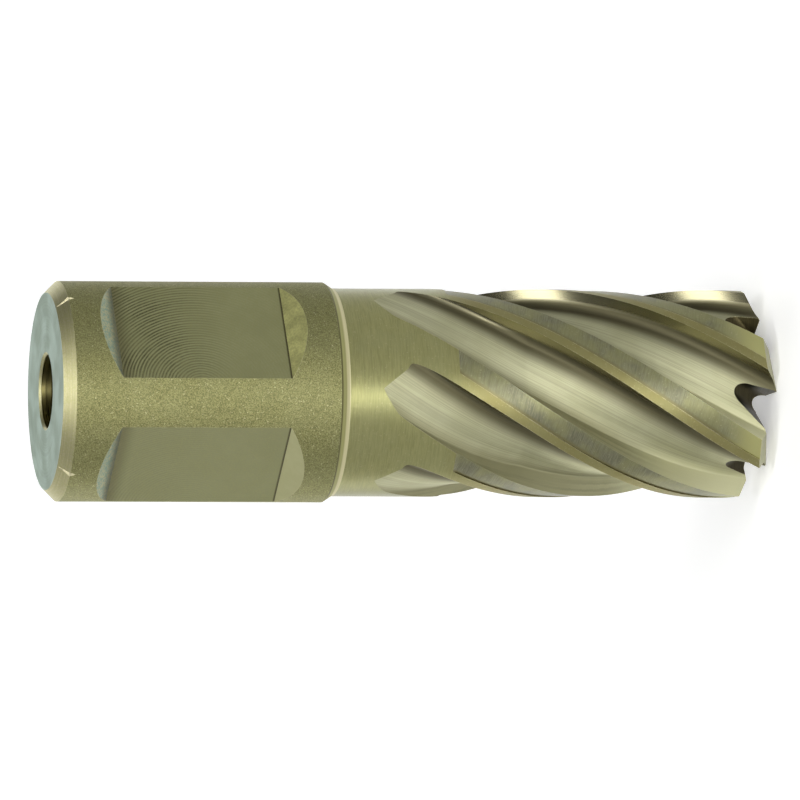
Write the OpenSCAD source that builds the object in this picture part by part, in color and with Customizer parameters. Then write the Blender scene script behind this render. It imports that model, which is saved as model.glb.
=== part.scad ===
// Annular cutter for a magnetic drill: one piece of high-speed steel with a two-flat clamping
// shank, a bore for the pilot pin, a slug cavity, helical outer flutes and saw-like end teeth.
// It stands on its teeth with the shank up. The origin is on the axis, level with the tooth tips.

/* [Shank] */
// Diameter of the clamping shank
shank_d = 19.05; // [18.5:0.05:22]
// Length of the shank, from its end face to the body
shank_len = 25; // [23:0.5:32]
// Chamfer round the end face, measured along the axis and along the radius
end_chamfer = 1; // [0.4:0.1:1.6]
// Length along the axis of the chamfer that leads down to the body
shoulder_chamfer_len = 0.8; // [0.4:0.1:1.6]
// Radius in the corner between that chamfer and the body
shoulder_fillet = 1.2; // [0.4:0.1:2]

/* [Clamping flats] */
// Number of flats for the clamping screws
flat_count = 2; // [1:1:2]
// Angle between the flats
flat_spacing = 90; // [75:1:120]
// Depth of a flat below the shank's surface
flat_depth = 1.45; // [0.8:0.05:1.8]
// Length of the flat floor along the axis
flat_len = 14.8; // [10:0.2:15.6]
// Distance from the shank's end face to the flat floor
flat_from_end = 5.1; // [4:0.1:6]
// Angle of the flat's sloping end walls, measured from the radius
flat_wall_angle = 48; // [20:1:55]

/* [End face nicks] */
// Slope of the small index nicks across the end chamfer, measured from the axis
nick_slope = 34; // [20:1:44]
// Included angle of a nick
nick_angle = 80; // [40:5:100]
// Places of the nicks round the shank, measured from the first flat
nick_places = [18, -88]; // [-180:1:180]

/* [Bores] */
// Diameter of the bore for the pilot pin
pilot_d = 6.35; // [5:0.05:8]
// Chamfer at the mouth of the pilot bore
pilot_chamfer = 0.35; // [0.1:0.05:0.8]
// Diameter of the cavity that takes the cut slug
slug_d = 10.4; // [9.6:0.1:11]
// Depth of the slug cavity above the tooth tips
slug_depth = 33; // [28:0.5:36]
// Slope of the cavity's drilled roof, measured across the axis
slug_roof = 30; // [0:5:45]

/* [Body] */
// Length over all, from the tooth tips to the end face
overall_len = 63; // [60:0.5:75]
// Diameter of the hole that the cutter makes
cutter_d = 18; // [17.4:0.1:18.4]

/* [Flutes] */
// Number of teeth, each with a flute in front of it
tooth_count = 6; // [5:1:6]
// Length along the axis of one full turn of a flute
helix_lead = 88; // [70:1:120]
// Angle of the first cutting edge round the axis, at the tooth tips
flute_phase = 30; // [-30:0.5:30]
// Arc of a flute, from the cutting edge to the heel of the land in front
flute_arc = 40.5; // [37:0.5:43]
// Thickness of the web that a flute leaves outside the slug cavity
web_t = 1.8; // [1.4:0.05:2.1]
// Arc from the cutting edge to the thinnest part of the web
floor_arc = 29; // [24:0.5:30]
// Slope of the rake wall, measured from the radius
rake_slope = 10; // [4:1:16]
// Radius at the foot of the rake wall
rake_fillet = 1.2; // [0.6:0.1:1.6]
// Radius at the foot of the heel wall
heel_fillet = 0.5; // [0.3:0.1:0.8]
// Height at which the flute has its full depth
runout_from = 22; // [14:0.5:24]
// Height at which the flute has run out of the body
runout_to = 35; // [32:0.5:37]

/* [Lands] */
// Arc of the full-diameter margin behind each cutting edge
margin_arc = 6; // [4:0.5:9]
// Depth of the ground clearance behind the margin
relief_depth = 0.1; // [0.05:0.01:0.2]
// Height at which the ground clearance ends
relief_to = 28; // [20:0.5:30]

/* [Teeth] */
// Arc from the cutting edge forward to the gullet's rake wall
gullet_lead = 9.5; // [8:0.5:12]
// Depth of a gullet above the tooth tips
gullet_depth = 3.6; // [3:0.1:4.5]
// Radius at the bottom of a gullet
gullet_r = 0.85; // [0.6:0.05:1]
// Lean of the gullet's rake wall, measured from the axis
gullet_rake = 20; // [10:1:26]
// Slope of the tooth's back, measured from the axis
gullet_back = 45; // [40:1:52]
// Distance of the tooth crest from the outside of the body
crest_inset = 1.8; // [1.4:0.1:2.2]
// Axial clearance angle behind the cutting edges
tip_relief = 7; // [4:0.5:10]
// Slope of a pointed tooth from its crest out to the margin
outer_bevel = 25; // [15:1:30]
// Slope of a pointed tooth from its crest in to the slug cavity
inner_bevel = 15; // [8:1:25]
// Slope of a plain tooth from the slug cavity out to the margin
plain_bevel = 8; // [2:1:12]
// Height of a plain tooth's inner corner above the pointed tips
plain_drop = 0.1; // [0.05:0.05:0.3]
// Height of a low tooth's end above that of a plain tooth
low_drop = 0.55; // [0.2:0.05:0.8]

/* [Hidden] */
$fn = 96;

// Main radii and heights
shank_r = shank_d / 2;
body_r = cutter_d / 2;
slug_r = slug_d / 2;
pilot_r = pilot_d / 2;
shank_z = overall_len - shank_len;
pitch = 360 / tooth_count;
twist = 360 / helix_lead;

// Room that a cutting shape has past the metal that it cuts
over = 1;

// Steps in each round stretch of an outline
arc_steps = 4;
gullet_steps = 8;

// Flute section, in the plane across the axis
floor_r = slug_r + web_t;
outer_r = body_r * 1.16;
heel_foot_share = 0.65;
land_steps = 3;
outer_steps = 4;

// Stations along a flute
flute_low = -1.5 * over;
flute_high = runout_to + 1.5 * over;
station_count = 46;
relief_fade = 1.2;

// Tooth ends
crest_r = body_r - crest_inset;
crest_turn = 13;
sector_front = -15;
tooth_high = gullet_depth + over;
tooth_low = -3 * over;

function polar(r, a) = [r * cos(a), r * sin(a)];
function unit(v) = v / norm(v);

// Where the line through p along d meets the line through q along e
function meet(p, d, q, e) =
    let (t = ((q[0] - p[0]) * e[1] - (q[1] - p[1]) * e[0]) / (d[0] * e[1] - d[1] * e[0]))
    p + t * d;

// Where the ray from p along the unit vector d leaves the circle of radius r
function reach(p, d, r) =
    let (b = p * d)
    p + (sqrt(b * b - p * p + r * r) - b) * d;

// Arc of radius r that rounds the corner b between a and c
function corner_arc(a, b, c, r, steps) =
    let (
        u = unit(a - b),
        v = unit(c - b),
        half = acos(u * v) / 2,
        m = b + unit(u + v) * r / sin(half),
        p = b + u * r / tan(half) - m,
        q = b + v * r / tan(half) - m,
        turn = acos(p * q / (r * r)) * sign(p[0] * q[1] - p[1] * q[0])
    )
    [for (i = [0 : steps]) let (w = turn * i / steps)
        m + [p[0] * cos(w) - p[1] * sin(w), p[0] * sin(w) + p[1] * cos(w)]];

// Flute outline at full depth. The cutting edge is on the X axis, and the flute lies clockwise of it.
cutting_edge = polar(body_r, 0);
floor_mid = polar(floor_r, -floor_arc);
floor_dir = polar(1, -floor_arc - 90);
rake_foot = meet(cutting_edge, polar(1, 180 + rake_slope), floor_mid, floor_dir);
heel_foot = floor_mid + floor_dir * floor_r * tan((flute_arc - floor_arc) * heel_foot_share);
heel_edge = polar(body_r - relief_depth, -flute_arc);
flute_outline = concat(
    [reach(rake_foot, unit(cutting_edge - rake_foot), outer_r)],
    corner_arc(cutting_edge, rake_foot, heel_foot, rake_fillet, arc_steps),
    corner_arc(rake_foot, heel_foot, heel_edge, heel_fillet, arc_steps),
    [heel_edge]
);

// How far the flute and the land's clearance stand out from their full depth at a height
function flute_lift(z) =
    (body_r - floor_r) * max(0, z - runout_from) / (runout_to - runout_from);
function relief_lift(z) = (relief_depth + 0.3 * over) * max(0, z - relief_to) / relief_fade;

// One section of the shape that cuts a flute and the clearance of the land in front of it
function flute_ring(z) =
    let (
        turn = twist * z,
        lift = flute_lift(z),
        land_r = body_r - relief_depth + relief_lift(z),
        cut_arc = pitch - margin_arc
    )
    concat(
        [for (p = flute_outline) concat(polar(norm(p) + lift, atan2(p[1], p[0]) + turn), z)],
        [for (i = [1 : land_steps])
            concat(polar(land_r, turn - flute_arc - (cut_arc - flute_arc) * i / land_steps), z)],
        [for (i = [outer_steps : -1 : 0])
            concat(polar(outer_r + lift, turn - cut_arc * i / outer_steps), z)]
    );

module flute_cut() {
    rings = [for (i = [0 : station_count])
        flute_ring(flute_low + (flute_high - flute_low) * i / station_count)];
    n = len(rings[0]);
    inner = len(flute_outline) + land_steps;
    last = station_count * n;
    // For each inner point, the outer point that it is joined to where an end is closed
    mates = [for (i = [0 : inner - 1]) n - 1 - floor(i * (outer_steps + 1) / inner)];
    cap = [for (i = [0 : inner - 2]) each concat(
        [[i, i + 1, mates[i]]],
        mates[i + 1] == mates[i] ? [] : [[i + 1, mates[i + 1], mates[i]]]
    )];
    sides = [for (j = [0 : station_count - 1], i = [0 : n - 1])
        let (a = j * n + i, b = j * n + (i + 1) % n)
        each [[a, b + n, b], [a, a + n, b + n]]];
    polyhedron(
        points = [for (ring = rings) each ring],
        faces = concat(sides, cap, [for (f = cap) [f[0] + last, f[2] + last, f[1] + last]])
    );
}

// Round-bottomed notch through the web in front of a tooth, drawn square to the radius at the tip
module gullet_cut() {
    z_c = gullet_depth - gullet_r;
    c = [z_c * tan(gullet_rake) - gullet_r / cos(gullet_rake), z_c];
    low = tooth_low - c[1];
    back_foot = c - polar(gullet_r, -gullet_back) + polar(low / sin(90 - gullet_back), 90 - gullet_back);
    first = -gullet_rake;
    final = 180 - gullet_back;
    translate([slug_r / 2, 0, 0])
    rotate([90, 0, 90])
    linear_extrude(body_r + over - slug_r / 2)
    polygon(concat(
        [[tooth_low * tan(gullet_rake), tooth_low]],
        [for (i = [0 : gullet_steps])
            c + polar(gullet_r, first + (final - first) * i / gullet_steps)],
        [back_foot]
    ));
}

// Metal below the end of one tooth, which rises behind the tip. The teeth take turns round the cutter:
// a low one, a plain one and a pointed one with its crest along the tooth.
module tooth_end_cut(turn) {
    r_in = slug_r - 2 * over;
    r_out = body_r + 2 * over;
    drop = plain_drop + (turn == 0 ? low_drop : 0);
    roof = turn == 2
        ? [
            [r_in, (crest_r - r_in) * tan(inner_bevel)],
            [crest_r, 0],
            [r_out, (r_out - crest_r) * tan(outer_bevel)]
        ]
        : [
            [r_in, drop + (r_in - slug_r) * tan(plain_bevel)],
            [r_out, drop + (r_out - slug_r) * tan(plain_bevel)]
        ];
    intersection() {
        translate([0, 0, tooth_low])
        linear_extrude(tooth_high - tooth_low)
        polygon(concat(
            [[0, 0]],
            [for (i = [0 : 2]) polar(2 * body_r, sector_front + pitch * i / 2)]
        ));
        translate([crest_r, 0, 0])
        rotate([0, 0, crest_turn])
        rotate([tip_relief, 0, 0])
        translate([-crest_r, 0, 0])
        rotate([90, 0, 0])
        linear_extrude(4 * body_r, center = true)
        polygon(concat(
            [[r_in, 2 * tooth_low]],
            roof,
            [[r_out, 2 * tooth_low]]
        ));
    }
}

// Recess for one clamping screw, on the +X side
module flat_cut() {
    x = shank_r - flat_depth;
    z = overall_len - flat_from_end;
    spread = (flat_depth + over) * tan(flat_wall_angle);
    rotate([90, 0, 0])
    linear_extrude(shank_d, center = true)
    polygon([
        [x, z],
        [x, z - flat_len],
        [shank_r + over, z - flat_len - spread],
        [shank_r + over, z + spread]
    ]);
}

// Small index nick on the +X side, from the edge of the end face out across the chamfer
module nick_cut() {
    half_w = 2 * end_chamfer * tan(nick_angle / 2);
    translate([shank_r - end_chamfer, 0, overall_len])
    rotate([0, -nick_slope, 0])
    linear_extrude(6 * end_chamfer, center = true)
    polygon([[0, 0], [2 * end_chamfer, -half_w], [2 * end_chamfer, half_w]]);
}

// Turned blank with both bores, before the flats, flutes and teeth are cut
module blank() {
    foot = [body_r, shank_z];
    top = [shank_r, shank_z + shoulder_chamfer_len];
    rotate_extrude()
    polygon(concat(
        [[slug_r, -over], [body_r, -over]],
        corner_arc([body_r, 0], foot, top, shoulder_fillet, arc_steps),
        [
            top,
            [shank_r, overall_len - end_chamfer],
            [shank_r - end_chamfer, overall_len],
            [pilot_r + pilot_chamfer, overall_len],
            [pilot_r, overall_len - pilot_chamfer],
            [pilot_r, slug_depth + (slug_r - pilot_r) * tan(slug_roof)],
            [slug_r, slug_depth]
        ]
    ));
}

module annular_cutter() {
    color([0.72, 0.68, 0.5])
    difference() {
        blank();
        for (i = [0 : flat_count - 1])
            rotate(-flat_spacing * i) flat_cut();
        for (a = nick_places)
            rotate(a) nick_cut();
        for (k = [0 : tooth_count - 1]) {
            rotate(flute_phase + pitch * k) flute_cut();
            rotate(flute_phase + pitch * k - gullet_lead) gullet_cut();
            rotate(flute_phase + pitch * k - gullet_lead) tooth_end_cut(k % 3);
        }
    }
}

annular_cutter();
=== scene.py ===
"""Looks of the annular cutter: its form from geometry nodes, its finishes, and a studio."""

import math

import bmesh
import bpy
from mathutils import Matrix, Vector


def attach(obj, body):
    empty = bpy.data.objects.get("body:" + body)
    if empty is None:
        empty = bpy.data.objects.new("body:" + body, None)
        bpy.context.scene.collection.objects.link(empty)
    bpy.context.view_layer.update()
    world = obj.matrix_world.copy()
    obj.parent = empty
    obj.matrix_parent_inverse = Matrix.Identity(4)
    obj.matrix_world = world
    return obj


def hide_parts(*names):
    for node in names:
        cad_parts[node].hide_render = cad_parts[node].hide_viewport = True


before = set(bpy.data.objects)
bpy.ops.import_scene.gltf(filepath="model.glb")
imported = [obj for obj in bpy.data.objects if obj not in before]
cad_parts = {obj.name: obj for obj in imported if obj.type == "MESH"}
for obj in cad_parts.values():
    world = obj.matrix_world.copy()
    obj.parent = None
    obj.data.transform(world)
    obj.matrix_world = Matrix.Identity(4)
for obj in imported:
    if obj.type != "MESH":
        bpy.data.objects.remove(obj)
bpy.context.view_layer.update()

bl_info = {
    "name": "Annular Cutter",
    "version": (1, 0, 0),
    "blender": (4, 5, 0),
    "location": "3D View > Sidebar > Cutter",
    "description": "Builds an annular cutter with its finishes and a studio to look at it",
    "category": "Object",
}

NODE = "annular_cutter"
MM = 0.001
DEG = math.radians(1)


def length(name, millimetres, text):
    """A size in the panel, kept in metres."""
    return bpy.props.FloatProperty(
        name=name, description=text, default=millimetres * MM, unit="LENGTH", precision=5
    )


def angle(name, degrees, text):
    """An angle in the panel, kept in radians."""
    return bpy.props.FloatProperty(
        name=name, description=text, default=degrees * DEG, subtype="ANGLE"
    )


def count(name, number, text):
    """A whole number in the panel."""
    return bpy.props.IntProperty(name=name, description=text, default=number, min=3)


def tone(name, colour, text):
    """A colour in the panel."""
    return bpy.props.FloatVectorProperty(
        name=name, description=text, default=colour, size=3, min=0, max=1, subtype="COLOR"
    )


class CutterSizes(bpy.types.PropertyGroup):
    """Sizes of the cutter's form."""

    shank_d: length("Shank Diameter", 19.05, "Diameter of the clamping shank")
    shank_len: length("Shank Length", 25, "From the end face to the body")
    end_chamfer: length("End Chamfer", 1, "Chamfer round the end face")
    shoulder_len: length("Shoulder Chamfer", 0.8, "Chamfer that leads down to the body")
    shoulder_fillet: length("Shoulder Fillet", 0.3, "Radius between the shoulder and the body")
    flat_depth: length("Flat Depth", 1.45, "Depth of a clamping flat below the shank")
    flat_len: length("Flat Length", 14.8, "Length of the flat's floor")
    flat_from_end: length("Flat From End", 5.1, "From the end face to the flat's floor")
    flat_wall: angle("Flat Wall", 48, "Slope of the flat's end walls from the radius")
    flat_spacing: angle("Flat Spacing", 90, "Angle between the two flats")
    nick_slope: angle("Nick Slope", 34, "Slope of the end nicks from the axis")
    nick_angle: angle("Nick Angle", 80, "Included angle of an end nick")
    nick_first: angle("First Nick", 18, "Place of the first nick round the shank")
    nick_second: angle("Second Nick", -88, "Place of the second nick round the shank")
    pilot_d: length("Pilot Bore", 6.35, "Diameter of the pilot pin's bore")
    pilot_chamfer: length("Pilot Chamfer", 0.2, "Chamfer at the mouth of the pilot bore")
    slug_d: length("Slug Cavity", 10.4, "Diameter of the cavity that takes the slug")
    slug_depth: length("Slug Depth", 33, "Depth of the slug cavity")
    slug_roof: angle("Slug Roof", 30, "Slope of the cavity's drilled roof")
    overall_len: length("Overall Length", 63, "From the tooth tips to the end face")
    cutter_d: length("Cutter Diameter", 18, "Diameter of the hole that the cutter makes")
    tooth_count: count("Teeth", 6, "Number of teeth, a multiple of three")
    helix_lead: length("Helix Lead", 88, "Height of one full turn of a flute")
    flute_phase: angle("Flute Phase", 30, "Angle of the first cutting edge at the tips")
    flute_arc: angle("Flute Arc", 41.5, "Arc from the cutting edge to the heel in front")
    web: length("Web", 1.8, "Metal between a flute and the slug cavity")
    floor_arc: angle("Floor Arc", 30, "Arc from the cutting edge to the deepest line")
    floor_rise: length("Floor Rise", 0.47, "Rise of the floor towards the rake wall")
    heel_rise: length("Heel Rise", 0.22, "Rise of the heel face towards the heel wall")
    rake_slope: angle("Rake Slope", 10, "Slope of the rake wall from the radius")
    heel_slope: angle("Heel Slope", 10, "Slope of the heel wall from the radius")
    rake_fillet: length("Rake Fillet", 0.8, "Radius at the foot of the rake wall")
    heel_fillet: length("Heel Fillet", 0.2, "Radius at the foot of the heel wall")
    runout_from: length("Run-out From", 22, "Height at which a flute has its full depth")
    runout_to: length("Run-out To", 35, "Height at which a flute has left the body")
    margin_arc: angle("Margin Arc", 6, "Arc of the full-diameter margin")
    relief_depth: length("Relief Depth", 0.1, "Depth of the land's ground clearance")
    relief_to: length("Relief To", 28, "Height at which the clearance ends")
    gullet_lead: angle("Gullet Lead", 7.5, "Arc from the cutting edge to the gullet's wall")
    gullet_depth: length("Gullet Depth", 3.9, "Depth of a gullet above the tips")
    gullet_r: length("Gullet Radius", 0.95, "Radius at the bottom of a gullet")
    gullet_fall: angle("Gullet Fall", 42, "Slope of the gullet's floor towards the slug cavity")
    gullet_turn: angle("Gullet Turn", 26, "Turn of the gullet away from the radius")
    gullet_rake: angle("Gullet Rake", 20, "Lean of the gullet's rake wall")
    gullet_back: angle("Gullet Back", 67, "Slope of the tooth's back from the axis")
    crest_inset: length("Crest Inset", 1.8, "From the outside in to the tooth crest")
    crest_turn: angle("Crest Turn", 13, "Turn of the crest along the tooth")
    tip_relief: angle("Tip Relief", 8, "Clearance angle behind a cutting edge")
    outer_bevel: angle("Outer Bevel", 24, "Slope of a tooth's end from its crest outwards")
    inner_bevel: angle("Inner Bevel", 15, "Slope of a tooth's end from its crest inwards")
    mid_drop: length("Middle Drop", 0.2, "Height of a middle tooth above a tall one")
    low_drop: length("Low Drop", 0.65, "Height of a low tooth above a tall one")


class CutterFinish(bpy.types.PropertyGroup):
    """Colours of the cutter's surfaces."""

    gold: tone("Coat", (0.233, 0.229, 0.1), "Gold-toned coat of the shank and the neck")
    rich: tone("Margin", (0.235, 0.208, 0.084), "Coat where it is polished, on the margins")
    pale: tone("End Face", (0.325, 0.45, 0.36), "Pale turned end face")
    bright: tone("Chamfer", (0.58, 0.54, 0.34), "Bright edges and chamfers")
    grey: tone("Ground Land", (0.158, 0.156, 0.1), "Rough ground land behind a margin")
    beige: tone("Flute", (0.44, 0.435, 0.288), "Ground floor of a flute")
    # Dark brown painted as shade: at the foot of the flutes' rake walls, in the gullets, along the
    # shoulder's rim and in the corners of the flats
    painted_shade: tone("Painted Shade", (0.045, 0.038, 0.018), "Dark wall under a cutting edge")
    olive: tone("Flat", (0.165, 0.167, 0.086), "Milled floor of a clamping flat")


class Num:
    """A number in a node tree. Sums with it add Math nodes."""

    def __init__(self, tree, socket):
        self.tree = tree
        self.socket = socket

    def __add__(self, other):
        return self.tree.math("ADD", self, other)

    def __radd__(self, other):
        return self.tree.math("ADD", other, self)

    def __sub__(self, other):
        return self.tree.math("SUBTRACT", self, other)

    def __rsub__(self, other):
        return self.tree.math("SUBTRACT", other, self)

    def __mul__(self, other):
        return self.tree.math("MULTIPLY", self, other)

    def __rmul__(self, other):
        return self.tree.math("MULTIPLY", other, self)

    def __truediv__(self, other):
        return self.tree.math("DIVIDE", self, other)

    def __rtruediv__(self, other):
        return self.tree.math("DIVIDE", other, self)

    def __neg__(self):
        return self.tree.math("MULTIPLY", self, -1.0)

    def __gt__(self, other):
        return self.tree.math("GREATER_THAN", self, other)

    def __lt__(self, other):
        return self.tree.math("LESS_THAN", self, other)


class Tree:
    """A node tree while it is put together, for geometry or for shading."""

    def __init__(self, group):
        self.group = group

    def feed(self, socket, value):
        """Links or sets one input socket."""
        if isinstance(value, Num):
            value = value.socket
        if isinstance(value, bpy.types.NodeSocket):
            self.group.links.new(value, socket)
        elif isinstance(value, (tuple, list)) and any(isinstance(v, Num) for v in value):
            self.group.links.new(self.vector(*value), socket)
        else:
            socket.default_value = value

    def add(self, kind, inputs=None, **settings):
        """A new node with its settings and inputs."""
        made = self.group.nodes.new(kind)
        for key, value in settings.items():
            setattr(made, key, value)
        for key, value in (inputs or {}).items():
            self.feed(made.inputs[key], value)
        return made

    def math(self, operation, *values):
        made = self.add("ShaderNodeMath", operation=operation)
        for socket, value in zip(made.inputs, values):
            self.feed(socket, value)
        return Num(self, made.outputs[0])

    def sin(self, value):
        return self.math("SINE", value)

    def cos(self, value):
        return self.math("COSINE", value)

    def tan(self, value):
        return self.math("TANGENT", value)

    def most(self, a, b):
        return self.math("MAXIMUM", a, b)

    def hypot(self, a, b):
        return self.math("SQRT", a * a + b * b)

    def vector(self, x, y, z=0.0):
        made = self.add("ShaderNodeCombineXYZ", {"X": x, "Y": y, "Z": z})
        return made.outputs[0]

    def split(self, socket):
        made = self.add("ShaderNodeSeparateXYZ", {"Vector": socket})
        return [Num(self, s) for s in made.outputs]

    def polar(self, r, a):
        return (r * self.cos(a), r * self.sin(a))

    def noise(self, spot, scale, detail, roughness):
        made = self.add(
            "ShaderNodeTexNoise", {"Vector": spot, "Scale": scale, "Detail": detail, "Roughness": roughness}
        )
        return Num(self, made.outputs[0])

    def ramp(self, value, low, high):
        """0 where the value is at low and 1 where it is at high, eased between."""
        made = self.add(
            "ShaderNodeMapRange",
            {"Value": value, "From Min": low, "From Max": high},
            interpolation_type="SMOOTHSTEP",
        )
        return Num(self, made.outputs[0])

    def blend(self, factor, a, b):
        """A colour between a and b."""
        made = self.add("ShaderNodeMix", data_type="RGBA")
        for index, value in ((0, factor), (6, a), (7, b)):
            self.feed(made.inputs[index], value)
        return made.outputs[2]

    def pick(self, kind, values):
        """The value with the same index as the point that asks for it."""
        made = self.add("GeometryNodeIndexSwitch", data_type=kind)
        while len(made.index_switch_items) < len(values):
            made.index_switch_items.new()
        index = self.add("GeometryNodeInputIndex").outputs[0]
        self.feed(made.inputs[0], index)
        for socket, value in zip(list(made.inputs)[1:], values):
            self.feed(socket, value)
        return made.outputs[0]


def meet(p, d, q, e):
    """Where the line through p along d meets the line through q along e."""
    t = ((q[0] - p[0]) * e[1] - (q[1] - p[1]) * e[0]) / (d[0] * e[1] - d[1] * e[0])
    return (p[0] + t * d[0], p[1] + t * d[1])


def enter(tree, p, d, r):
    """Where the line from p along the unit vector d enters the circle of radius r."""
    b = p[0] * d[0] + p[1] * d[1]
    t = -(tree.math("SQRT", b * b - p[0] * p[0] - p[1] * p[1] + r * r) + b)
    return (p[0] + t * d[0], p[1] + t * d[1])


def outline(tree, points, radii=None, steps=12):
    """Closed outline through the points, anticlockwise, with its corners rounded by the radii."""
    line = tree.add("GeometryNodeMeshLine", {"Count": len(points)})
    places = tree.pick("VECTOR", [tree.vector(*p) for p in points])
    shaped = tree.add("GeometryNodeSetPosition", {"Geometry": line.outputs[0], "Position": places})
    mesh = shaped.outputs[0]
    if radii:
        mesh = tree.add(
            "GeometryNodeStoreNamedAttribute",
            {"Geometry": mesh, "Name": "corner", "Value": tree.pick("FLOAT", radii)},
            data_type="FLOAT",
            domain="POINT",
        ).outputs[0]
    curve = tree.add("GeometryNodeMeshToCurve", {"Mesh": mesh}).outputs[0]
    curve = tree.add("GeometryNodeSetSplineCyclic", {"Geometry": curve, "Cyclic": True}).outputs[0]
    if radii:
        corner = tree.add("GeometryNodeInputNamedAttribute", {"Name": "corner"}, data_type="FLOAT")
        curve = tree.add(
            "GeometryNodeFilletCurve",
            {"Curve": curve, "Count": steps, "Radius": corner.outputs[0], "Limit Radius": True},
            mode="POLY",
        ).outputs[0]
    return curve


def prism(tree, profile, low, high, stations=2):
    """The outline drawn out along the axis, closed at both ends."""
    line = tree.add("GeometryNodeCurvePrimitiveLine", {"Start": (0.0, 0.0, low), "End": (0.0, 0.0, high)})
    path = tree.add("GeometryNodeResampleCurve", {"Curve": line.outputs[0], "Count": stations})
    swept = tree.add(
        "GeometryNodeCurveToMesh",
        {"Curve": path.outputs[0], "Profile Curve": profile, "Fill Caps": True},
    )
    return swept.outputs[0]


def place(tree, geometry, move=(0.0, 0.0, 0.0), turn=(0.0, 0.0, 0.0)):
    """Turns the geometry about the origin and then moves it."""
    made = tree.add(
        "GeometryNodeTransform", {"Geometry": geometry, "Translation": move, "Rotation": turn}
    )
    return made.outputs[0]


def around(tree, geometry, number, first, step):
    """Copies of the geometry set round the axis."""
    points = tree.add("GeometryNodePoints", {"Count": number})
    index = Num(tree, tree.add("GeometryNodeInputIndex").outputs[0])
    turn = tree.add("FunctionNodeEulerToRotation", {"Euler": (0.0, 0.0, first + index * step)})
    made = tree.add(
        "GeometryNodeInstanceOnPoints",
        {"Points": points.outputs[0], "Instance": geometry, "Rotation": turn.outputs[0]},
    )
    return made.outputs[0]


def coat(tree, geometry, material, where=True):
    """Gives the chosen faces a finish."""
    made = tree.add(
        "GeometryNodeSetMaterial", {"Geometry": geometry, "Selection": where, "Material": material}
    )
    return made.outputs[0]


def combine(tree, operation, first, others):
    """A boolean of closed meshes."""
    made = tree.add("GeometryNodeMeshBoolean", operation=operation, solver="MANIFOLD")
    if operation == "DIFFERENCE":
        tree.feed(made.inputs["Mesh 1"], first)
    else:
        tree.group.links.new(first, made.inputs["Mesh 2"])
    for other in others:
        tree.group.links.new(other, made.inputs["Mesh 2"])
    return made.outputs["Mesh"]


# How far a cutting shape reaches past the metal that it cuts
OVER = 1 * MM
# Facets round the turned blank and stations along a flute
AROUND = 360
FLUTE_STATIONS = 170
# Steps in a flute's rounded corners
FLUTE_STEPS = 8
# Steps along a flute's floor, and the first of them that is kept
FLOOR_STEPS = 14
FLOOR_START = 4
# Steps across a land
LAND_STEPS = 8
# How far a flute's walls run on past the body, as a share of their own depth
WALL_STRETCH = 0.55
# How far out the cutting shapes of a flute and a land reach, in radii of the body
FLUTE_REACH = 1.16
LAND_REACH = 1.12
# Height over which the land's clearance runs out
RELIEF_FADE = 1.2 * MM
# Where a tooth's sector starts, in the gullet before it, and the share by which sectors overlap
SECTOR_START = -20 * DEG
SECTOR_LAP = 0.01
# How near to a surface a face counts as part of it
TOUCH = 0.01 * MM
FLAT_TOUCH = 0.05 * MM


def blank(tree, s, skins):
    """Turned blank with both bores."""
    r_path = s.body_r
    points = [
        (s.slug_r, -OVER),
        (s.body_r, -OVER),
        (s.body_r, s.shank_z),
        (s.shank_r, s.shank_z + s.shoulder_len),
        (s.shank_r, s.overall_len - s.end_chamfer),
        (s.shank_r - s.end_chamfer, s.overall_len),
        (s.pilot_r + s.pilot_chamfer, s.overall_len),
        (s.pilot_r, s.overall_len - s.pilot_chamfer),
        (s.pilot_r, s.slug_depth + (s.slug_r - s.pilot_r) * tree.tan(s.slug_roof)),
        (s.slug_r, s.slug_depth),
    ]
    radii = [0.0] * len(points)
    radii[2] = s.shoulder_fillet
    # The sweep's second axis points down, so the outline is drawn upside down and in reverse
    upside = [(r - r_path, 0.0 - z) for r, z in points]
    profile = outline(tree, upside[::-1], radii[::-1], 10)
    ring = tree.add("GeometryNodeCurvePrimitiveCircle", {"Resolution": AROUND, "Radius": r_path})
    body = tree.add(
        "GeometryNodeCurveToMesh", {"Curve": ring.outputs[0], "Profile Curve": profile}
    ).outputs[0]
    z = tree.split(tree.add("GeometryNodeInputPosition").outputs[0])[2]
    body = coat(tree, body, skins["blasted"])
    body = coat(tree, body, skins["turned"], z < s.shank_z - s.shoulder_fillet)
    shoulder = (z > s.shank_z - s.shoulder_fillet) * (z < s.shank_z + s.shoulder_len)
    body = coat(tree, body, skins["shoulder"], shoulder)
    body = coat(tree, body, skins["chamfer"], z > s.overall_len - s.end_chamfer)
    body = coat(tree, body, skins["end_face"], z > s.overall_len - TOUCH)
    return body


def helix(tree, s, geometry, lift):
    """Twists a straight cutting shape along the flutes' helix and lifts it out of the body."""
    x, y, z = tree.split(tree.add("GeometryNodeInputPosition").outputs[0])
    r = tree.hypot(x, y) + lift(z)
    a = tree.math("ARCTAN2", y, x) + z * s.twist
    px, py = tree.polar(r, a)
    made = tree.add("GeometryNodeSetPosition", {"Geometry": geometry, "Position": (px, py, z)})
    return made.outputs[0]


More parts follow.
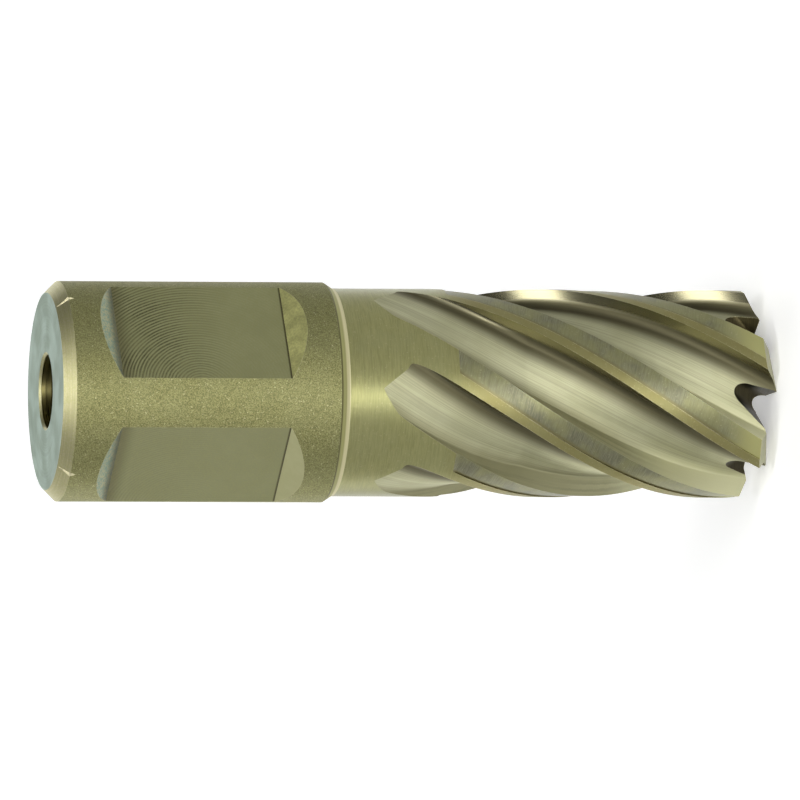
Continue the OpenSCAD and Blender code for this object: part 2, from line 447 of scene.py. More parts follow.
def flute(tree, s):
    """Shape that cuts one flute, with the cutting edge on the X axis at the tips."""
    floor_r = s.slug_r + s.web
    edge = (s.body_r, 0.0)
    rake_foot = enter(tree, edge, tree.polar(1.0, s.rake_slope + 180 * DEG), floor_r + s.floor_rise)
    rake_arc = tree.math("ARCTAN2", rake_foot[1], rake_foot[0])
    heel_edge = tree.polar(s.body_r - s.relief_depth, -s.flute_arc)
    heel_dir = tree.polar(1.0, 180 * DEG - s.flute_arc - s.heel_slope)
    heel_foot = enter(tree, heel_edge, heel_dir, floor_r + s.heel_rise)
    shares = [i / FLOOR_STEPS for i in range(FLOOR_START, FLOOR_STEPS + 1)]
    floor_line = [
        tree.polar(floor_r + s.floor_rise * (1.0 - w), rake_arc - (s.floor_arc + rake_arc) * w)
        for w in shares
    ]

    def past(foot, rim):
        """A point on the wall's line beyond its rim."""
        return tuple(b + (b - a) * WALL_STRETCH for a, b in zip(foot, rim))

    points = [
        past(rake_foot, edge),
        rake_foot,
        *floor_line,
        heel_foot,
        past(heel_foot, heel_edge),
        tree.polar(s.body_r * FLUTE_REACH, s.flute_arc * -0.5),
    ]
    radii = [0.0, s.rake_fillet, *[0.0] * len(shares), s.heel_fillet, 0.0, 0.0]
    profile = outline(tree, points, radii, FLUTE_STEPS)
    straight = prism(tree, profile, -1.5 * OVER, s.runout_to + 1.5 * OVER, FLUTE_STATIONS)
    depth = s.body_r - floor_r
    rise = depth / (s.runout_to - s.runout_from)
    return helix(tree, s, straight, lambda z: rise * tree.most(z - s.runout_from, 0.0))


def relief(tree, s):
    """Shape that grinds the clearance of the land in front of a flute."""
    land_r = s.body_r - s.relief_depth
    high_r = s.body_r * LAND_REACH
    first = 2 * DEG - s.flute_arc
    final = s.margin_arc - s.pitch
    angles = [first + (final - first) * (i / LAND_STEPS) for i in range(LAND_STEPS + 1)]
    points = [tree.polar(land_r, a) for a in angles]
    points += [tree.polar(high_r, a) for a in angles[::-4]]
    straight = prism(tree, outline(tree, points), -1.5 * OVER, s.relief_to + 2 * OVER, FLUTE_STATIONS)
    rise = (s.relief_depth + 0.3 * OVER) / RELIEF_FADE
    return helix(tree, s, straight, lambda z: rise * tree.most(z - s.relief_to, 0.0))


def gullet(tree, s):
    """Round-bottomed notch through the web in front of a tooth."""
    low = -3 * OVER
    tip_z = s.gullet_depth * (1.0 - tree.cos(s.gullet_fall))
    z_c = s.gullet_depth - s.gullet_r
    centre = ((z_c - tip_z) * tree.tan(s.gullet_rake) - s.gullet_r / tree.cos(s.gullet_rake), z_c)
    back_dir = (tree.sin(s.gullet_back), tree.cos(s.gullet_back))
    touch = (centre[0] - s.gullet_r * back_dir[1], centre[1] + s.gullet_r * back_dir[0])
    rake_dir = (tree.tan(s.gullet_rake), 1.0)
    corner = meet((0.0, tip_z), rake_dir, touch, back_dir)
    down = (low - touch[1]) / back_dir[1]
    points = [
        ((low - tip_z) * rake_dir[0], low),
        corner,
        (touch[0] + back_dir[0] * down, low),
    ]
    profile = outline(tree, points, [0.0, s.gullet_r, 0.0], 24)
    crest_r = s.body_r - s.crest_inset
    straight = prism(tree, profile, s.body_r * -0.5, s.body_r * 0.5)
    upright = place(tree, straight, (0.0, 0.0, -s.gullet_depth), (90 * DEG, 0.0, 90 * DEG))
    return place(tree, upright, (crest_r, 0.0, s.gullet_depth), (0.0, -s.gullet_fall, s.gullet_turn))


def tooth_end(tree, s, drop):
    """Metal below one tooth's end, whose crest is higher than a tall tooth's by the drop."""
    low = -3 * OVER
    r_in = s.slug_r - 2 * OVER
    r_out = s.body_r + 2 * OVER
    crest_r = s.body_r - s.crest_inset
    points = [
        (r_out, 2 * low),
        (r_out, drop + (r_out - crest_r) * tree.tan(s.outer_bevel)),
        (crest_r, drop),
        (r_in, drop + (crest_r - r_in) * tree.tan(s.inner_bevel)),
        (r_in, 2 * low),
    ]
    slab = prism(tree, outline(tree, points), s.body_r * -2.0, s.body_r * 2.0)
    slab = place(tree, slab, (-crest_r, 0.0, 0.0), (90 * DEG, 0.0, 0.0))
    slab = place(tree, slab, (crest_r, 0.0, 0.0), (s.tip_relief, 0.0, s.crest_turn))
    shares = (-SECTOR_LAP, 0.5, 1.0 + SECTOR_LAP)
    rim = [tree.polar(s.body_r * 2.0, SECTOR_START + s.pitch * share) for share in shares]
    wedge = prism(tree, outline(tree, [(0.0, 0.0), *rim]), low, s.gullet_depth + OVER)
    return combine(tree, "INTERSECT", wedge, [slab])


def flat(tree, s, skins):
    """Recess for one clamping screw, on the +X side."""
    x = s.shank_r - s.flat_depth
    z = s.overall_len - s.flat_from_end
    spread = (s.flat_depth + OVER) * tree.tan(s.flat_wall)
    points = [
        (x, z),
        (x, z - s.flat_len),
        (s.shank_r + OVER, z - s.flat_len - spread),
        (s.shank_r + OVER, z + spread),
    ]
    straight = prism(tree, outline(tree, points), s.shank_d * -0.5, s.shank_d * 0.5)
    made = coat(tree, place(tree, straight, turn=(90 * DEG, 0.0, 0.0)), skins["flat_wall"])
    face_x = tree.split(tree.add("GeometryNodeInputPosition").outputs[0])[0]
    return coat(tree, made, skins["flat"], face_x < x + FLAT_TOUCH)


def nick(tree, s):
    """Small index nick on the +X side, across the end chamfer."""
    wide = s.end_chamfer * 2.0
    half = wide * tree.tan(s.nick_angle * 0.5)
    profile = outline(tree, [(0.0, 0.0), (wide, -half), (wide, half)])
    straight = prism(tree, profile, s.end_chamfer * -3.0, s.end_chamfer * 3.0)
    corner = (s.shank_r - s.end_chamfer, 0.0, s.overall_len)
    return place(tree, straight, corner, (0.0, -s.nick_slope, 0.0))


class Bag:
    """Named numbers of one tree."""


def size_inputs(tree, group, sizes):
    """An input on the tree for each size, and the values that follow from them."""
    names = list(CutterSizes.__annotations__)
    kinds = CutterSizes.bl_rna.properties
    for key in names:
        prop = kinds[key]
        whole = prop.type == "INT"
        socket = group.interface.new_socket(
            prop.name, in_out="INPUT", socket_type="NodeSocketInt" if whole else "NodeSocketFloat"
        )
        socket.default_value = getattr(sizes, key)
    source = tree.add("NodeGroupInput")
    s = Bag()
    for key in names:
        setattr(s, key, Num(tree, source.outputs[kinds[key].name]))
    s.shank_r = s.shank_d * 0.5
    s.body_r = s.cutter_d * 0.5
    s.slug_r = s.slug_d * 0.5
    s.pilot_r = s.pilot_d * 0.5
    s.shank_z = s.overall_len - s.shank_len
    s.pitch = math.tau / s.tooth_count
    s.twist = math.tau / s.helix_lead
    return s


def cutter_tree(sizes, skins):
    """The cutter's form: a turned blank less all that is milled and ground out of it."""
    group = bpy.data.node_groups.new("Cutter Form", "GeometryNodeTree")
    group.interface.new_socket("Geometry", in_out="OUTPUT", socket_type="NodeSocketGeometry")
    tree = Tree(group)
    s = size_inputs(tree, group, sizes)
    cuts = [around(tree, flat(tree, s, skins), 2, 0.0, -s.flat_spacing)]
    marks = coat(tree, nick(tree, s), skins["nick"])
    cuts += [place(tree, marks, turn=(0.0, 0.0, a)) for a in (s.nick_first, s.nick_second)]
    first = s.flute_phase - s.gullet_lead
    for make, skin, start in (
        (flute, "flute", s.flute_phase),
        (relief, "relief", s.flute_phase),
        (gullet, "gullet", first),
    ):
        shape = coat(tree, make(tree, s), skins[skin])
        cuts.append(around(tree, shape, s.tooth_count, start, s.pitch))
    for i, drop in enumerate((s.low_drop, s.mid_drop, 0.0)):
        ends = coat(tree, tooth_end(tree, s, drop), skins["tooth_end"])
        cuts.append(around(tree, ends, s.tooth_count / 3.0, first + s.pitch * float(i), s.pitch * 3.0))
    form = combine(tree, "DIFFERENCE", blank(tree, s, skins), cuts)
    form = tree.add("GeometryNodeRealizeInstances", {"Geometry": form}).outputs[0]
    x, y, z = tree.split(tree.add("GeometryNodeInputPosition").outputs[0])
    inside = (tree.hypot(x, y) < s.slug_r + TOUCH) * (z < s.overall_len - s.pilot_chamfer)
    form = coat(tree, form, skins["bore"], inside)
    tree.add("NodeGroupOutput", {"Geometry": form})
    return group


def shade_group(name, inputs, outputs, build):
    """A shared effect: a shader node group with named inputs and outputs, made once."""
    group = bpy.data.node_groups.get(name)
    if group:
        return group
    group = bpy.data.node_groups.new(name, "ShaderNodeTree")
    for key, value in inputs.items():
        socket = group.interface.new_socket(key, in_out="INPUT", socket_type="NodeSocketFloat")
        socket.default_value = value
    for key in outputs:
        group.interface.new_socket(key, in_out="OUTPUT", socket_type="NodeSocketFloat")
    tree = Tree(group)
    source = tree.add("NodeGroupInput")
    values = build(tree, *[Num(tree, source.outputs[key]) for key in inputs])
    tree.add("NodeGroupOutput", dict(zip(outputs, values)))
    return group


def place_coordinates(tree):
    """Radius, angle and height of a point about the cutter's axis."""
    spot = tree.add("ShaderNodeTexCoord").outputs["Object"]
    x, y, z = tree.split(spot)
    return tree.hypot(x, y), tree.math("ARCTAN2", y, x), z


def grain_effect(tree, size):
    """Blasted grain: rounded pits of one size, coarser patches, and painted glints on a few facets."""
    spot = tree.add("ShaderNodeTexCoord").outputs["Object"]
    fine = tree.noise(spot, 1.0 / size, 2.0, 0.6)
    coarse = tree.noise(spot, 0.22 / size, 2.0, 0.5)
    cells = tree.add("ShaderNodeTexVoronoi", {"Vector": spot, "Scale": 0.8 / size})
    lit = tree.split(cells.outputs["Color"])[0]
    painted_glint = tree.ramp(lit, 0.90, 0.97) * tree.ramp(fine, 0.45, 0.6)
    return fine * 0.88 + coarse * 0.12, painted_glint


def lines_effect(tree, across, along, pitch, run):
    """Tool marks: streaks that are fine across and long along the cut."""
    spot = tree.vector(across / pitch, along / run, 0.37)
    fine = tree.noise(spot, 1.0, 3.0, 0.65)
    spot = tree.vector(across / (pitch * 5.0), along / (run * 2.0), 2.1)
    broad = tree.noise(spot, 1.0, 2.0, 0.5)
    return fine * 0.65 + broad * 0.35, tree.ramp(fine, 0.35, 0.65)


def blotch_effect(tree, size):
    """Large soft patches where the coat varies."""
    spot = tree.add("ShaderNodeTexCoord").outputs["Object"]
    soft = tree.noise(spot, 1.0 / size, 3.0, 0.55)
    return (tree.ramp(soft, 0.35, 0.65),)


def worn_edge_highlight_effect(tree, width):
    """Bare bright metal along sharp outer edges: worn metal, and partly a painted highlight of their edge
    breaks.
    """
    worn = tree.add("ShaderNodeBevel", {"Radius": width}, samples=6)
    face = tree.add("ShaderNodeNewGeometry").outputs["Normal"]
    even = tree.add("ShaderNodeVectorMath", {0: worn.outputs[0], 1: face}, operation="DOT_PRODUCT")
    spot = tree.add("ShaderNodeTexCoord").outputs["Object"]
    broken = tree.noise(spot, 2500.0, 2.0, 0.6)
    gap = 1.0 - Num(tree, even.outputs["Value"])
    return (tree.ramp(gap, 0.004, 0.06) * tree.ramp(broken, 0.3, 0.6),)


class Skin:
    """One finish while its nodes are put together."""

    def __init__(self, name):
        self.material = bpy.data.materials.new(name)
        self.material.use_nodes = True
        self.tree = Tree(self.material.node_tree)
        self.shader = self.material.node_tree.nodes["Principled BSDF"]
        self.shader.inputs["Metallic"].default_value = 1.0
        self.colour = None
        self.normal = None

    def effect(self, name, inputs, outputs, build, **values):
        """Adds a shared effect and gives its outputs."""
        group = shade_group(name, inputs, outputs, build)
        made = self.tree.add("ShaderNodeGroup", node_tree=group)
        for key, value in values.items():
            self.tree.feed(made.inputs[key.replace("_", " ").title()], value)
        return [Num(self.tree, made.outputs[key]) for key in outputs]

    def place(self):
        return self.effect("Axis Coordinates", {}, ("Radius", "Angle", "Height"), place_coordinates)

    def grain(self, size):
        return self.effect("Blasted Grain", {"Size": 0.0001}, ("Height", "Painted Glint"), grain_effect, size=size)

    def lines(self, across, along, pitch, run):
        return self.effect(
            "Tool Marks",
            {"Across": 0.0, "Along": 0.0, "Pitch": 0.0001, "Run": 0.01},
            ("Height", "Mask"),
            lines_effect,
            across=across, along=along, pitch=pitch, run=run,
        )

    def blotch(self, size):
        return self.effect("Coat Patches", {"Size": 0.003}, ("Mask",), blotch_effect, size=size)[0]

    # Lighter along sharp edges: worn bare metal, partly a painted highlight
    def edges(self, width):
        return self.effect("Worn Edges And Painted Highlight", {"Width": 0.0001}, ("Mask",), worn_edge_highlight_effect, width=width)[0]

    def bump(self, height, depth):
        """Adds a relief on top of the ones so far."""
        made = self.tree.add("ShaderNodeBump", {"Height": height, "Distance": depth, "Strength": 1.0})
        if self.normal:
            self.tree.feed(made.inputs["Normal"], self.normal)
        self.normal = made.outputs[0]

    def tint(self, factor, colour):
        """Blends the colour so far towards another one."""
        self.colour = self.tree.blend(factor, self.colour, colour)

    def finish(self, roughness):
        """Feeds the shader and hands over the material."""
        self.tree.feed(self.shader.inputs["Base Color"], self.colour)
        self.tree.feed(self.shader.inputs["Roughness"], roughness)
        if self.normal:
            self.tree.feed(self.shader.inputs["Normal"], self.normal)
        return self.material


def shade(colour, factor):
    """A colour made lighter or darker, ready for a socket."""
    return (*[min(1.0, c * factor) for c in colour], 1.0)


def edge_angle(tree, s, turn, z):
    """Angle behind the nearest cutting edge, along the flutes' helix."""
    lean = turn - z * (math.tau / s.helix_lead) - s.flute_phase
    return tree.math("FLOORED_MODULO", lean, math.tau / s.tooth_count)


def blasted_skin(t):
    """Blasted shank: fine golden grain with painted glints on a few facets."""
    skin = Skin("blasted shank")
    height, painted_glint = skin.grain(0.1 * MM)
    patch = skin.blotch(3 * MM)
    pits = skin.tree.ramp(height, 0.35, 0.65)
    skin.colour = skin.tree.blend(pits, shade(t.gold, 0.64), shade(t.gold, 1.28))
    skin.tint(patch * 0.15, shade(t.olive, 1.3))
    # Painted glints on a few facets of the grain
    skin.tint(painted_glint * 0.3, shade(t.bright, 1.0))
    # Lighter along sharp edges: worn metal, partly a painted highlight
    skin.tint(skin.edges(0.12 * MM) * 0.6, shade(t.bright, 1.0))
    skin.bump(height, 0.016 * MM)
    return skin.finish(0.66 - painted_glint * 0.1 - patch * 0.04)


def turned_skin(t, s):
    """Turned neck, and the margins of the lands that are left of it."""
    skin = Skin("turned neck")
    _, turn, z = skin.place()
    height, mask = skin.lines(z, turn * (s.cutter_d / 2), 0.07 * MM, 1.5 * MM)
    grain, painted_glint = skin.grain(0.1 * MM)
    patch = skin.blotch(2.2 * MM)
    tree = skin.tree
    skin.colour = tree.blend(mask, shade(t.gold, 0.9), shade(t.gold, 1.12))
    fluted = tree.ramp(z, s.relief_to + 2 * MM, s.relief_to - 2 * MM)
    skin.tint(fluted * 0.85, shade(t.rich, 0.9))
    skin.tint(patch * 0.2, shade(t.olive, 1.6))
    # Painted glints on a few facets of the grain
    skin.tint(painted_glint * 0.15, shade(t.bright, 1.0))
    # Lighter along sharp edges: worn metal, partly a painted highlight
    skin.tint(skin.edges(0.1 * MM) * 0.5, shade(t.bright, 1.0))
    skin.bump(height, 0.002 * MM)
    skin.bump(grain, 0.004 * MM)
    return skin.finish(0.24 + grain * 0.14 + fluted * 0.12)


def shoulder_skin(t, s):
    """Turned shoulder, with a painted highlight at its foot and painted shade along its rim."""
    skin = Skin("turned shoulder")
    _, turn, z = skin.place()
    height, mask = skin.lines(z, turn * (s.shank_d / 2), 0.08 * MM, 8 * MM)
    skin.colour = skin.tree.blend(mask, shade(t.gold, 1.2), shade(t.gold, 1.5))
    foot = s.overall_len - s.shank_len
    # Painted highlight along the fillet at the foot
    skin.tint(skin.tree.ramp(z, foot + 0.35 * MM, foot + 0.2 * MM) * 0.8, shade(t.bright, 1.0))
    rim = foot + s.shoulder_len
    # Painted shade: a dark line along the rim
    skin.tint(skin.tree.ramp(z, rim - 0.2 * MM, rim - 0.1 * MM) * 0.7, shade(t.painted_shade, 1.0))
    skin.bump(height, 0.004 * MM)
    return skin.finish(0.5 + mask * 0.08)


def chamfer_skin(t, s):
    """Bright chamfer round the end face."""
    skin = Skin("bright chamfer")
    radius, turn, z = skin.place()
    height, mask = skin.lines(radius - z, turn * (s.shank_d / 2), 0.12 * MM, 6 * MM)
    grain, _ = skin.grain(0.15 * MM)
    skin.colour = skin.tree.blend(mask, shade(t.bright, 0.8), shade(t.bright, 1.0))
    skin.tint(skin.tree.ramp(grain, 0.35, 0.7) * 0.5 + 0.2, shade(t.gold, 1.9))
    skin.bump(height, 0.006 * MM)
    skin.bump(grain, 0.012 * MM)
    return skin.finish(0.42 + grain * 0.2)


def end_face_skin(t):
    """Pale end face with turning marks."""
    skin = Skin("turned end face")
    radius, turn, _ = skin.place()
    height, mask = skin.lines(radius, turn * 4 * MM, 0.16 * MM, 12 * MM)
    patch = skin.blotch(2.5 * MM)
    skin.colour = skin.tree.blend(mask, shade(t.pale, 0.92), shade(t.pale, 1.06))
    skin.tint(patch * 0.15, shade(t.gold, 1.2))
    # Lighter along sharp edges: worn metal, partly a painted highlight
    skin.tint(skin.edges(0.1 * MM) * 0.6, shade(t.bright, 1.0))
    skin.bump(height, 0.003 * MM)
    return skin.finish(0.42 + patch * 0.08)


def bore_skin(t):
    """Pilot bore and slug cavity."""
    skin = Skin("drilled bore")
    radius, turn, z = skin.place()
    height, mask = skin.lines(z, turn * radius, 0.15 * MM, 6 * MM)
    skin.colour = skin.tree.blend(mask, shade(t.rich, 0.9), shade(t.rich, 1.5))
    skin.bump(height, 0.006 * MM)
    return skin.finish(0.26 + mask * 0.1)


# Centre of the end mill's arcs on a flat, across it and along the axis, and their spacing
MILL_ACROSS = -6 * MM
MILL_HEIGHT = 51 * MM
MILL_PITCH = 0.28 * MM


def flat_skin(t, s):
    """Milled floor of a flat, with the arcs that the end mill left, and painted shade towards its walls."""
    skin = Skin("milled flat")
    tree = skin.tree
    x, y, z = tree.split(tree.add("ShaderNodeTexCoord").outputs["Object"])
    second = (y + x) < 0.0
    across = y + (x - y) * second
    a = across - MILL_ACROSS
    b = z - MILL_HEIGHT
    reach = tree.hypot(a, b)
    sweep = tree.math("ARCTAN2", b, a)
    wobble, _ = skin.lines(reach, sweep * 12 * MM, 0.3 * MM, 5 * MM)
    wave = tree.sin(reach * (math.tau / MILL_PITCH) + wobble * 7.0)
    patch = skin.blotch(4 * MM)
    worn = tree.ramp(z, 47 * MM, 55 * MM) * 0.92 + 0.08
    fade = worn * (1.0 - patch * 0.4) * (1.0 - second * 0.75)
    ridge = tree.ramp(wave, -0.9, 0.7)
    skin.colour = tree.blend((1.0 - ridge) * fade, shade(t.olive, 1.75), shade(t.olive, 0.5))
    skin.tint(second * 0.4, shade(t.olive, 0.75))
    skin.tint(patch * 0.2, shade(t.gold, 0.7))
    grain, _ = skin.grain(0.12 * MM)
    skin.tint(tree.ramp(grain, 0.4, 0.7) * 0.5, shade(t.gold, 1.15))
    start = s.overall_len - s.flat_from_end
    end = start - s.flat_len
    # Painted shade: the floor darkens towards the wall at its start and along the foot of the wall at its
    # end
    skin.tint(tree.ramp(z, start - 1.5 * MM, start) * 0.45, shade(t.painted_shade, 1.5))
    skin.tint(tree.ramp(z, end + 0.22 * MM, end + 0.1 * MM) * 0.8, shade(t.painted_shade, 1.0))
    skin.bump(ridge * fade, 0.012 * MM)
    skin.bump(grain, 0.006 * MM)
    return skin.finish(0.45 + grain * 0.15)


def flat_wall_skin(t, s):
    """End walls of the flats with painted light: brightened gold towards the body, beige on the second
    flat's walls, a painted reflection of the pale floor towards the end and painted shade at its foot.
    """
    skin = Skin("milled flat wall with painted light")
    tree = skin.tree
    x, y, z = tree.split(tree.add("ShaderNodeTexCoord").outputs["Object"])
    grain, _ = skin.grain(0.2 * MM)
    patch = skin.blotch(1.5 * MM)
    second = (y + x) < 0.0
    near_end = z > s.overall_len - s.flat_from_end - s.flat_len * 0.5
    tall = tree.most(x, -y) - (s.shank_d / 2 - s.flat_depth)
    # Painted light: the walls' gold is brightened far above the coat, so that they look lit
    skin.colour = tree.blend(tree.ramp(grain, 0.3, 0.7), shade(t.gold, 2.4), shade(t.gold, 3.1))
    # Painted light: the second flat's walls are beige, as a differently lit copy of the same wall
    skin.tint(second, shade(t.beige, 0.96))
    skin.tint(second * 0.4, shade(t.gold, 2.4))
    # Painted reflection: towards the end the walls turn pale, as if mirroring the pale floor
    pale = tree.blend(tree.ramp(grain, 0.4, 0.6), shade(t.pale, 0.72), shade(t.grey, 2.6))
    skin.tint(near_end, pale)
    # Painted shade at the foot of the walls towards the end
    skin.tint(near_end * tree.ramp(tall, 0.9 * MM, 0.0) * 0.7, shade(t.painted_shade, 1.5))
    # Lighter along sharp edges: worn metal, partly a painted highlight
    skin.tint(skin.edges(0.1 * MM) * 0.3, shade(t.bright, 1.0))
    skin.bump(grain, 0.012 * MM)
    return skin.finish(0.5 + patch * 0.1)


def flute_skin(t, s):
    """Ground flute: lines along the helix, painted shade at the foot of the rake wall, painted brown shade
    on the heel, painted light on the heel near the teeth, and a polished outer rake wall.
    """
    skin = Skin("ground flute")
    tree = skin.tree
    radius, turn, z = skin.place()
    behind = edge_angle(tree, s, turn, z) - math.tau / s.tooth_count
    height, mask = skin.lines(behind * (s.cutter_d / 2), z, 0.09 * MM, 14 * MM)
    patch = skin.blotch(5 * MM)
    skin.colour = tree.blend(mask, shade(t.beige, 0.86), shade(t.beige, 1.1))
    skin.tint(patch * 0.2, shade(t.gold, 1.0))
    wobble = (height - 0.5) * 4 * DEG
    foot = tree.ramp(behind + wobble, -17 * DEG, -6 * DEG)
    heel = tree.ramp(behind + wobble, -31 * DEG, -38 * DEG) * tree.ramp(z, 8 * MM, 18 * MM)
    # Painted shade: the floor darkens towards the foot of the rake wall, and the heel face darkens towards
    # the run-out
    skin.tint(foot * 0.85, shade(t.painted_shade, 1.5))
    skin.tint(heel * 0.4, shade(t.rich, 0.6))
    # Painted light: the heel face is lightened near the teeth
    painted_light_near_teeth = tree.ramp(behind, -31 * DEG, -38 * DEG) * tree.ramp(z, 14 * MM, 8 * MM)
    skin.tint(painted_light_near_teeth * 0.8, shade(t.beige, 1.35))
    wall = tree.ramp(behind, -4 * DEG, -1 * DEG) * tree.ramp(radius, 7.8 * MM, 8.3 * MM)
    skin.tint(wall, shade(t.bright, 0.6))
    skin.bump(height * (1.0 - wall * 0.8), 0.005 * MM)
    return skin.finish(0.66 - wall * 0.44)


def relief_skin(t, s):
    """Rough ground land, scratched across its length and smooth at the margin and at the tip."""
    skin = Skin("ground land")
    tree = skin.tree
    _, turn, z = skin.place()
    around_land = turn * (s.cutter_d / 2)
    behind = edge_angle(tree, s, turn, z)
    height, mask = skin.lines(z + around_land * 0.25, around_land - z * 0.25, 0.07 * MM, 1.1 * MM)
    grain, painted_glint = skin.grain(0.1 * MM)
    rough = tree.ramp(behind, s.margin_arc, s.margin_arc + 3 * DEG) * tree.ramp(z, 2.4 * MM, 4 * MM)
    patch = skin.blotch(2.5 * MM)
    skin.colour = tree.blend(mask * rough, shade(t.grey, 0.8), shade(t.grey, 1.2))
    skin.tint(patch * rough * 0.55, shade(t.gold, 1.0))
    skin.tint((1.0 - rough) * 0.7, shade(t.rich, 0.8))
    skin.tint(tree.ramp(z, 6 * MM, 1.5 * MM) * 0.7, shade(t.gold, 2.0))
    # Painted glints on a few facets of the grain
    skin.tint(painted_glint * rough * 0.15, shade(t.bright, 1.0))
    # Lighter along sharp edges: worn metal, partly a painted highlight
    skin.tint(skin.edges(0.1 * MM) * 0.3, shade(t.bright, 1.0))
    skin.bump(height * rough, 0.010 * MM)
    skin.bump(grain * rough, 0.006 * MM)
    return skin.finish(0.3 + mask * 0.1)


def cut_skin(t, name, colour, rough):
    """Freshly cut metal with bright edges."""
    skin = Skin(name)
    radius, _, z = skin.place()
    height, mask = skin.lines(z, radius, 0.1 * MM, 3 * MM)
    skin.colour = skin.tree.blend(mask, shade(colour, 0.8), shade(colour, 1.15))
    # Lighter along sharp edges: worn metal, partly a painted highlight
    skin.tint(skin.edges(0.08 * MM) * 0.6, shade(t.bright, 1.0))
    skin.bump(height, 0.008 * MM)
    return skin.finish(rough + mask * 0.1)


def finishes(t, s):
    """Every finish of the cutter."""
    return {
        "blasted": blasted_skin(t),
        "turned": turned_skin(t, s),
        "shoulder": shoulder_skin(t, s),
        "chamfer": chamfer_skin(t, s),
        "end_face": end_face_skin(t),
        "bore": bore_skin(t),
        "flat": flat_skin(t, s),
        "flat_wall": flat_wall_skin(t, s),
        "nick": cut_skin(t, "fresh nick", t.bright, 0.3),
        "flute": flute_skin(t, s),
        "relief": relief_skin(t, s),
        # The gullets' dark brown is painted shade
        "gullet": cut_skin(t, "gullet with painted shade", t.painted_shade, 0.3),
        "tooth_end": cut_skin(t, "ground tooth end", t.beige, 0.4),
    }


# Width below which a face is a sliver, the rounds that clear them, and the angle of a sharp edge
SLIVER = 0.002 * MM
SLIVER_ROUNDS = 3
SHARP = 28 * DEG
# Fewest faces of a form that came out whole
FEWEST_FACES = 1000


def drop_slivers(mesh):
    """Takes out the flat slivers that the cuts leave along their shared edges."""
    work = bmesh.new()
    work.from_mesh(mesh)
    bmesh.ops.remove_doubles(work, verts=work.verts[:], dist=SLIVER)
    bmesh.ops.dissolve_degenerate(work, edges=work.edges[:], dist=SLIVER)
    for _ in range(SLIVER_ROUNDS):
        stray = [face for face in work.faces if any(len(edge.link_faces) == 1 for edge in face.edges)]
        bmesh.ops.delete(work, geom=stray, context="FACES")
    work.to_mesh(mesh)
    work.free()


def soft_edges(mesh, limit):
    """Smooth shading that breaks at sharp corners and where one finish meets another."""
    mesh.set_sharp_from_angle(angle=limit)
    faces_of = {}
    for polygon in mesh.polygons:
        polygon.use_smooth = True
        for key in polygon.edge_keys:
            faces_of.setdefault(key, set()).add(polygon.material_index)
    for edge in mesh.edges:
        if len(faces_of.get(edge.key, ())) > 1:
            edge.use_edge_sharp = True


class CUTTER_OT_build_cutter(bpy.types.Operator):
    """Builds the cutter in place of its plain solid"""

    bl_idname = "cutter.build_cutter"
    bl_label = "Build Cutter"

    def execute(self, context):
        sizes = context.scene.cutter_sizes
        group = cutter_tree(sizes, finishes(context.scene.cutter_finish, sizes))
        carrier = bpy.data.objects.new("carrier", bpy.data.meshes.new("carrier"))
        context.scene.collection.objects.link(carrier)
        form = carrier.modifiers.new("Form", "NODES")
        form.node_group = group
        sockets = {
            item.name: item.identifier for item in group.interface.items_tree if item.in_out == "INPUT"
        }
        for key, prop in CutterSizes.bl_rna.properties.items():
            if prop.name in sockets:
                form[sockets[prop.name]] = getattr(sizes, key)
        graph = context.evaluated_depsgraph_get()
        mesh = bpy.data.meshes.new_from_object(carrier.evaluated_get(graph), depsgraph=graph)
        bpy.data.objects.remove(carrier)
        if len(mesh.polygons) < FEWEST_FACES:
            raise RuntimeError("the cutter's form came out empty")
        mesh.name = "cutter"
        drop_slivers(mesh)
        soft_edges(mesh, SHARP)
        piece = bpy.data.objects.new("cutter", mesh)
        context.scene.collection.objects.link(piece)
        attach(piece, "root")
        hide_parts(NODE)
        return {"FINISHED"}


CAMERA_AZIMUTH = 50.85 * DEG
CAMERA_ELEVATION = 11.3 * DEG
CAMERA_ROLL = 89.76 * DEG
CAMERA_DISTANCE = 2.0
CAMERA_AIM = Vector((0, 0, 31.5 * MM))
CAMERA_SLIDE = (-0.305 * MM, -0.63 * MM)
CAMERA_LENS = 1039.5
CAMERA_SENSOR = 36
LAMP_DISTANCE = 1.5
FLOOR_HALF = 4.0
# Light that the pale floor adds, for the rays of the camera and of mirroring surfaces alike
FLOOR_GLOW = 0.36


def camera_axes():
    """Right, up and back of the camera."""
    a, e, r = CAMERA_AZIMUTH, CAMERA_ELEVATION, CAMERA_ROLL
    back = Vector((math.sin(a) * math.cos(e), -math.cos(a) * math.cos(e), math.sin(e)))
    level = Vector((math.cos(a), math.sin(a), 0))
    steep = back.cross(level)
    right = level * math.cos(r) - steep * math.sin(r)
    up = level * math.sin(r) + steep * math.cos(r)
    return right, up, back


def add_lamp(context, name, direction, wide, high, power):
    """A soft box that looks at the cutter."""
    data = bpy.data.lights.new(name, "AREA")
    data.shape = "RECTANGLE"
    data.size = wide
    data.size_y = high
    data.energy = power
    lamp = bpy.data.objects.new(name, data)
    context.scene.collection.objects.link(lamp)
    lamp.location = CAMERA_AIM + direction.normalized() * LAMP_DISTANCE
    lamp.rotation_euler = direction.to_track_quat("Z", "Y").to_euler()
    lamp.visible_camera = False


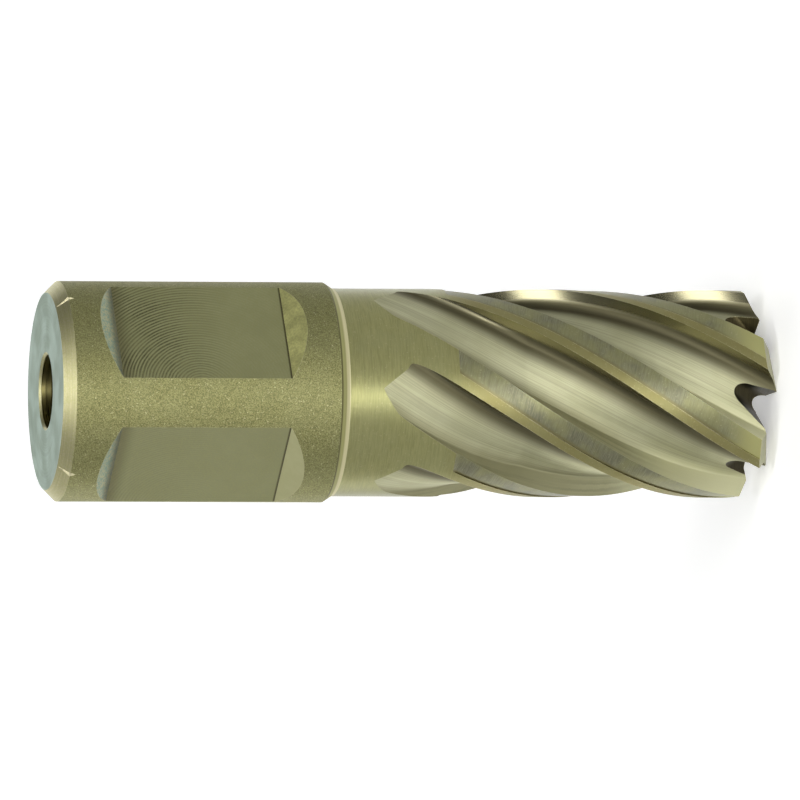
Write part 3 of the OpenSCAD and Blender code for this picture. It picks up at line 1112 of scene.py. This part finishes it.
class CUTTER_OT_build_stage(bpy.types.Operator):
    """Builds the floor, the light and the camera"""

    bl_idname = "cutter.build_stage"
    bl_label = "Build Stage"

    def execute(self, context):
        scene = context.scene
        right, up, back = camera_axes()
        camera = bpy.data.objects.new("camera", bpy.data.cameras.new("camera"))
        scene.collection.objects.link(camera)
        spot = CAMERA_AIM + back * CAMERA_DISTANCE + right * CAMERA_SLIDE[0] + up * CAMERA_SLIDE[1]
        turn = Matrix((right, up, back)).transposed()
        camera.matrix_world = Matrix.Translation(spot) @ turn.to_4x4()
        camera.data.sensor_width = CAMERA_SENSOR
        camera.data.lens = CAMERA_LENS
        camera.data.clip_end = 50
        scene.camera = camera

        floor_mesh = bpy.data.meshes.new("floor")
        signs = ((-1, -1), (1, -1), (1, 1), (-1, 1))
        corners = [(x * FLOOR_HALF, y * FLOOR_HALF, 0) for x, y in signs]
        floor_mesh.from_pydata(corners, [], [(0, 1, 2, 3)])
        floor = bpy.data.objects.new("floor", floor_mesh)
        scene.collection.objects.link(floor)
        material = bpy.data.materials.new("pale floor")
        material.use_nodes = True
        shader = material.node_tree.nodes["Principled BSDF"]
        shader.inputs["Base Color"].default_value = (0.9, 0.9, 0.9, 1)
        shader.inputs["Emission Color"].default_value = (1, 1, 1, 1)
        tree = Tree(material.node_tree)
        path = tree.add("ShaderNodeLightPath")
        seen = Num(tree, path.outputs["Is Camera Ray"])
        mirrored = Num(tree, path.outputs["Is Glossy Ray"]) + Num(tree, path.outputs["Is Transmission Ray"])
        tree.feed(shader.inputs["Emission Strength"], (seen + mirrored) * FLOOR_GLOW)
        floor_mesh.materials.append(material)

        world = bpy.data.worlds.new("studio")
        scene.world = world
        world.use_nodes = True
        background = world.node_tree.nodes["Background"]
        background.inputs["Color"].default_value = (0.08, 0.084, 0.08, 1)
        sky = Vector((0, 0, 1))
        add_lamp(context, "front box", back - up * 0.08, 0.3, 0.45, 15)
        add_lamp(context, "back box", -back, 2.0, 2.0, 20)
        add_lamp(context, "low box", sky * 0.15 - up * 0.8 - back * 0.55, 0.6, 0.8, 12)
        add_lamp(context, "upper box", sky * 0.15 + up * 0.5 - back * 0.85, 0.5, 0.8, 4)
        add_lamp(context, "top box", sky + back * 0.2, 0.6, 0.6, 7)
        add_lamp(context, "high box", sky + back * 0.85 + up * 0.42, 0.6, 0.5, 4.5)
        add_lamp(context, "side box", sky * 0.6 - back * 0.35 - up * 0.7, 0.6, 0.6, 1.5)
        scene.view_settings.view_transform = "Standard"
        return {"FINISHED"}


class CUTTER_PT_panel(bpy.types.Panel):
    """The cutter's sizes and the buttons that build it"""

    bl_label = "Annular Cutter"
    bl_idname = "CUTTER_PT_panel"
    bl_space_type = "VIEW_3D"
    bl_region_type = "UI"
    bl_category = "Cutter"

    def draw(self, context):
        scene = context.scene
        for kind, holder in ((CutterSizes, scene.cutter_sizes), (CutterFinish, scene.cutter_finish)):
            for key in kind.__annotations__:
                self.layout.prop(holder, key)
        for operator in (CUTTER_OT_build_cutter, CUTTER_OT_build_stage):
            self.layout.operator(operator.bl_idname)


CLASSES = (CutterSizes, CutterFinish, CUTTER_OT_build_cutter, CUTTER_OT_build_stage, CUTTER_PT_panel)


def register():
    for item in CLASSES:
        bpy.utils.register_class(item)
    bpy.types.Scene.cutter_sizes = bpy.props.PointerProperty(type=CutterSizes)
    bpy.types.Scene.cutter_finish = bpy.props.PointerProperty(type=CutterFinish)


def unregister():
    del bpy.types.Scene.cutter_sizes
    del bpy.types.Scene.cutter_finish
    for item in reversed(CLASSES):
        bpy.utils.unregister_class(item)


def main():
    register()
    bpy.ops.cutter.build_cutter()
    bpy.ops.cutter.build_stage()


if __name__ == "__main__":
    main()
